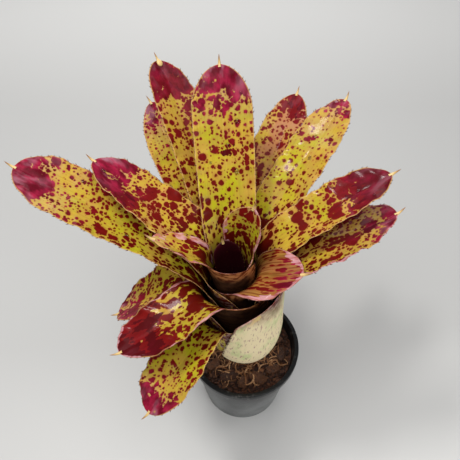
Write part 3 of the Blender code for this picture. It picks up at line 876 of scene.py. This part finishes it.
def leaf_teeth(middle, t, rng):
    """Small hooked teeth: cones that leave the margin outward and lean towards the tip."""
    bases, outward, forward = [], [], []
    for edge, neighbour in ((0, 2), (-1, -3)):
        line, inner = middle[:-4, edge], middle[:-4, neighbour]
        run = np.concatenate([[0], np.cumsum(np.linalg.norm(np.diff(line, axis=0), axis=-1))])
        begin = np.interp(-0.012, t[:-4, 0], run)
        count = int((run[-1] - begin) / TEETH_STEP)
        stops = begin + TEETH_STEP * (np.arange(count) + rng.uniform(0.1, 0.9, count))
        out = line - inner
        on = np.gradient(line, axis=0)
        for store, values in ((bases, line), (outward, out), (forward, on)):
            store.append(np.stack([np.interp(stops, run, values[:, k]) for k in range(3)], -1))
    base, out, on = (np.concatenate(v) for v in (bases, outward, forward))
    out, on = unit(out), unit(on)
    size = rng.uniform(0.0008, 0.0016, (len(base), 1, 1))
    share = np.linspace(0, 1, 5)[:, None]
    path = base[:, None] + size * (out[:, None] * (share * 0.9 - 0.15) + on[:, None] * share ** 2)
    radius = 0.28 * size[..., 0] * (1 - share[:, 0]) ** 0.8
    return tubes(path, radius + 0 * path[..., 0], 5), share


def leaf_spine(middle, normal, layer):
    """Curved spine at the tip: a cone whose middle line bends up as the square of its run."""
    tip = middle[-1, COLUMNS // 2]
    on = unit(tip - middle[-12, COLUMNS // 2])
    up = -normal[-12, COLUMNS // 2]
    share = np.linspace(0, 1, 14)[:, None]
    path = tip + on * (SPINE_LENGTH * (share - 0.22)) + up * (0.0022 * share ** 2)
    swing = np.cross(on, up) * (0.0015 * math.sin(2.3 * layer) * share ** 2)
    radius = SPINE_RADIUS * (1 - share[:, 0]) ** 0.75
    return tubes((path + swing)[None], radius[None], 9), share


def spine_finish():
    """Horny spines: maroon brown teeth with black points, golden spines at the tips."""
    finish = Finish("leaf_spine", Roughness=0.35)
    run, kind, _ = finish.mark("place")
    tooth = finish.blend((0.16, 0.030, 0.016), (0.020, 0.006, 0.005), run)
    golden = finish.blend((0.74, 0.52, 0.20), (0.30, 0.12, 0.040), finish.step(run, 0.25, 0.95))
    pitted = finish.noise(finish.in_place(), 1500.0, 2.0)
    return finish.done(finish.blend(tooth, golden, kind), None, pitted, 0.0001)


def leaf_finish(name, heart=False):
    """Leaf skin. Every pattern follows the leaf's own length and width.

    Yellow, green and pink drift into each other, with veins, and fade to dusty pink at the
    tip. Three sizes of spot are cells whose radius is a random number, cut crisp and joined,
    each in a rusty halo. Solid red with a torn and marbled edge covers the stained ends, wine
    where the leaf is magenta, with a painted lilac sheen near the tip. Over these go the tan
    rim, the dried pink margin, the dusty outer face, the ivory sheath with its flecks, the
    streaked brown of worn leaves and painted shade in the hollows.
    """
    finish = Finish(name, Coat_Weight=0.11, Coat_Roughness=0.11, Specular_IOR_Level=0.035)
    grain = finish.mark_vector("grain")
    along, margin, outside = finish.mark("place")
    stain, spots, flush = finish.mark("stain")
    gloom, edge, magenta = finish.mark("gloom")
    lime, sheath, pale = finish.mark("tint_and_shade")
    streaky = finish.mark("habit")[0]
    torn = finish.shaken(grain, grain, 230.0, 0.0020)
    torn = finish.shaken(torn, grain, 900.0, 0.0009)
    clouds = finish.noise(grain, 60.0, 3.0)

    # Ground colour
    drift = finish.plus(lime, finish.centred(clouds, 2.2))
    ground = finish.blend((0.53, 0.355, 0.034), (0.43, 0.410, 0.010),
                          finish.step(drift, 0.05, 0.95))
    pink = finish.step(finish.noise(finish.move(grain, (3.1, 0.7, 0.0)), 75.0, 4.0), 0.38, 0.66)
    ground = finish.blend(ground, (0.47, 0.195, 0.075), pink, flush)
    withered = finish.times(finish.step(along, 0.62, 0.98), finish.step(clouds, 0.3, 0.6))
    ground = finish.blend(ground, (0.58, 0.31, 0.22), withered, 0.60)
    veins = finish.noise(grain, 1.0, 3.0, (1400.0, 45.0, 1.0))
    ground = finish.blend(ground, (0.30, 0.20, 0.028), finish.step(veins, 0.42, 0.70), 0.30)
    ground = finish.blend(ground, (0.29, 0.120, 0.034), finish.step(streaky, 0.35, 1.0), 0.75)
    lines = finish.times(finish.step(finish.noise(grain, 620.0, 3.0, (1, 0.12, 1)), 0.44, 0.60),
                         streaky)
    ground = finish.blend(ground, (0.150, 0.030, 0.006), lines, 0.7)

    # Spots, with their halos
    busy = finish.times(finish.step(clouds, 0.35, 0.68), 0.22)
    busy = finish.plus(busy, finish.times(finish.step(stain, -0.016, 0.006), 0.62))
    busy = finish.plus(busy, finish.times(finish.step(along, 0.45, 0.05), 0.24))
    busy = finish.plus(busy, finish.times(spots, 0.60))
    cover = halo = 0.0
    for scale, reach, rarity in ((120.0, 0.30, 1.22), (205.0, 0.36, 0.88), (360.0, 0.36, 0.80)):
        distance, luck = finish.cells(torn, scale)
        lucky = finish.plus(finish.plus(luck, busy), -rarity)
        size = finish.times(lucky, reach / (1.40 - rarity), clamp=True)
        inside = finish.calc("SUBTRACT", size, distance)
        spot = finish.times(finish.step(inside, -0.05, 0.05), finish.step(lucky, 0.0, 0.02))
        around = finish.times(finish.step(inside, -0.30, 0.02), finish.step(lucky, 0.0, 0.05))
        cover = finish.calc("MAXIMUM", cover, spot)
        halo = finish.calc("MAXIMUM", halo, around)
    ground = finish.blend(ground, (0.40, 0.110, 0.030), halo, 0.42)

    # Solid red toward the stained ends
    ragged = finish.centred(finish.noise(torn, 95.0, 4.0), 0.080)
    marbled = finish.centred(finish.noise(torn, 260.0, 3.0, (1, 0.45, 1)), 0.055)
    solid = finish.step(finish.plus(stain, finish.plus(ragged, marbled)), 0.0045, 0.0075)
    deep = finish.blend((0.085, 0.005, 0.001), (0.185, 0.006, 0.005),
                        finish.step(along, 0.0, 0.75))
    deep = finish.blend(deep, (0.075, 0.002, 0.003), solid)
    glow = finish.step(finish.noise(grain, 150.0, 4.0, (1, 0.7, 1)), 0.38, 0.66)
    wine = finish.blend((0.120, 0.002, 0.012), (0.360, 0.012, 0.050), glow)
    toward = finish.times(magenta, finish.step(along, 0.55, 0.85))
    deep = finish.blend(deep, wine, toward)
    # Painted sheen: pale lilac patches near the tips of magenta leaves stand in for highlights.
    painted_sheen = finish.step(finish.noise(grain, 110.0, 3.0, (1, 0.5, 1)), 0.48, 0.66)
    painted_sheen = finish.times(finish.times(painted_sheen, toward), finish.step(along, 0.78, 0.97))
    deep = finish.blend(deep, (0.55, 0.22, 0.30), painted_sheen, 0.5)
    blush = finish.step(finish.noise(grain, 240.0, 3.0, (1, 0.35, 1)), 0.35, 0.75)
    deep = finish.blend(deep, (0.070, 0.003, 0.003), blush, 0.45)
    body = finish.blend(ground, deep, finish.calc("MAXIMUM", cover, solid))

    # Tan rim and dried pink margin
    body = finish.blend(body, (0.62, 0.36, 0.12), finish.step(margin, 0.0010, 0.0003),
                        0.2 if heart else 0.75)
    dry = finish.noise(grain, 420.0, 3.0, (1, 0.5, 1))
    patch = finish.step(finish.noise(grain, 75.0, 2.0), 0.36, 0.62)
    reach = finish.times(finish.times(edge, finish.times(dry, 3.0)), patch)
    within = finish.calc("GREATER_THAN", reach, margin)
    shrivelled = finish.blend((0.42, 0.11, 0.11), (0.60, 0.30, 0.34), finish.step(dry, 0.40, 0.60))
    body = finish.blend(body, shrivelled, within, 0.8)

    # Outer face and sheath
    bloom = finish.step(finish.noise(grain, 260.0, 4.0, (1, 2.6, 1)), 0.42, 0.72)
    body = finish.blend(body, (0.62, 0.46, 0.40), finish.times(bloom, 0.42), outside)
    ivory = finish.blend((0.80, 0.68, 0.42), (0.58, 0.62, 0.30), finish.step(clouds, 0.50, 0.66))
    flecks = finish.step(finish.noise(torn, 420.0, 3.0, (1.6, 0.8, 1)), 0.56, 0.66)
    ivory = finish.blend(ivory, (0.36, 0.16, 0.18), flecks, 0.7)
    body = finish.blend(body, ivory, pale, outside)
    fibres = finish.step(finish.noise(grain, 700.0, 3.0, (0.22, 1, 1)), 0.42, 0.60)
    worn = finish.blend((0.42, 0.170, 0.060), (0.110, 0.022, 0.006), fibres)
    body = finish.blend(body, worn, outside, finish.step(streaky, 0.0, 0.3))

    # Painted shade in the hollows: the sheath's inner face inside the tank, which is partly its
    # own dark maroon, the outer faces deep between the leaves, and all of the heart leaf, deep in
    # the tank
    indoors = finish.times(sheath, finish.calc("SUBTRACT", 1.0, outside))
    body = finish.blend(body, (0.030, 0.008, 0.008), indoors, 0.93)
    body = finish.blend(body, (0.022, 0.010, 0.006), finish.times(gloom, outside), 0.93)
    if heart:
        body = finish.blend(body, (0.024, 0.003, 0.006), 0.90)

    scurf = finish.noise(grain, 130.0, 4.0)
    rough = finish.step(finish.plus(scurf, finish.times(outside, 0.25)), -0.62, 1.55)
    relief = finish.plus(finish.times(veins, 0.5), finish.times(scurf, 0.9))
    return finish.done(body, rough, relief, 0.00035)


def water_finish():
    """Clear water with a faintly uneven skin."""
    finish = Finish("water", Roughness=0.03, IOR=1.33, Transmission_Weight=1.0)
    ripples = finish.noise(finish.in_place(), 700.0, 1.0)
    return finish.done(None, None, ripples, 0.00005)


def bead(middle, normal, row, column, size):
    """A flattened ball that sits on a leaf's inner face, its axes along, across and up."""
    on = unit(middle[row + 1, column] - middle[row - 1, column])
    up = -normal[row, column]
    sizes = np.array([1.0, 0.75, 0.42]) * size
    axes = np.stack([on, np.cross(up, on), up])
    lift = 0.5 * LEAF_THICKNESS + 0.15 * size
    return (middle[row, column] + up * lift + (pebble(12, 16) * sizes) @ axes)[None]


DROPS = {   # on each leaf: share along the strap, share across, size
    "back_leaf": ((0.70, -0.35, 0.0019), (0.58, -0.05, 0.0016), (0.45, -0.30, 0.0021),
                  (0.84, -0.6, 0.0015), (0.50, 0.45, 0.0012)),
    "right_back_leaf": ((0.62, -0.1, 0.0018), (0.74, 0.2, 0.0016), (0.50, 0.3, 0.0013)),
    "left_leaf": ((0.45, 0.35, 0.0018), (0.72, -0.5, 0.0013)),
    "left_back_leaf": ((0.90, 0.2, 0.0016),),
    "right_leaf": ((0.80, 0.1, 0.0014), (0.86, -0.5, 0.0012)),
    "lower_right_leaf": ((0.35, 0.75, 0.0020),),
}
KNOB_RADIUS = 0.0030
leaf_green = leaf_finish("spotted_leaf")
leaf_heart = leaf_finish("heart_leaf_skin", heart=True)
horn = spine_finish()
rng = np.random.default_rng(5)
beads = []
for layer, leaf in enumerate(LEAVES):
    middle, t, side, half, place = leaf_middle(leaf, layer)
    points, marks, normal = leaf_skin(leaf, layer, middle, t, side, half, place)
    teeth, run = leaf_teeth(middle, t, rng)
    tooth_marks = {"place": run[..., None] * (1, 0, 0)}
    spine, run = leaf_spine(middle, normal, layer)
    spine_marks = {"place": run[..., None] * (1, 0, 0) + (0, 1, 0)}
    skins = [(points, marks, 0), (teeth, tooth_marks, 1), (spine, spine_marks, 1)]
    if leaf.name == "back_left_leaf":       # its tip has dried into a golden knob
        knob = bead(middle, normal, len(t) - 9, COLUMNS // 2, KNOB_RADIUS)
        skins.append((knob, {"place": (0.15, 1, 0)}, 1))
    for along, aside, size in DROPS.get(leaf.name, ()):
        row = int(np.searchsorted(t[:, 0], along * leaf.blade))
        column = int((aside + 1) * (COLUMNS // 2))
        beads.append((bead(middle, normal, row, column, size), {}, 0))
    heart = leaf.name == "heart_leaf"
    add_piece(f"{leaf.name}_skin",
              [leaf_heart if heart else leaf_green, horn], skins, replaces=[leaf.name])
add_piece("water_drops", [water_finish()], beads)
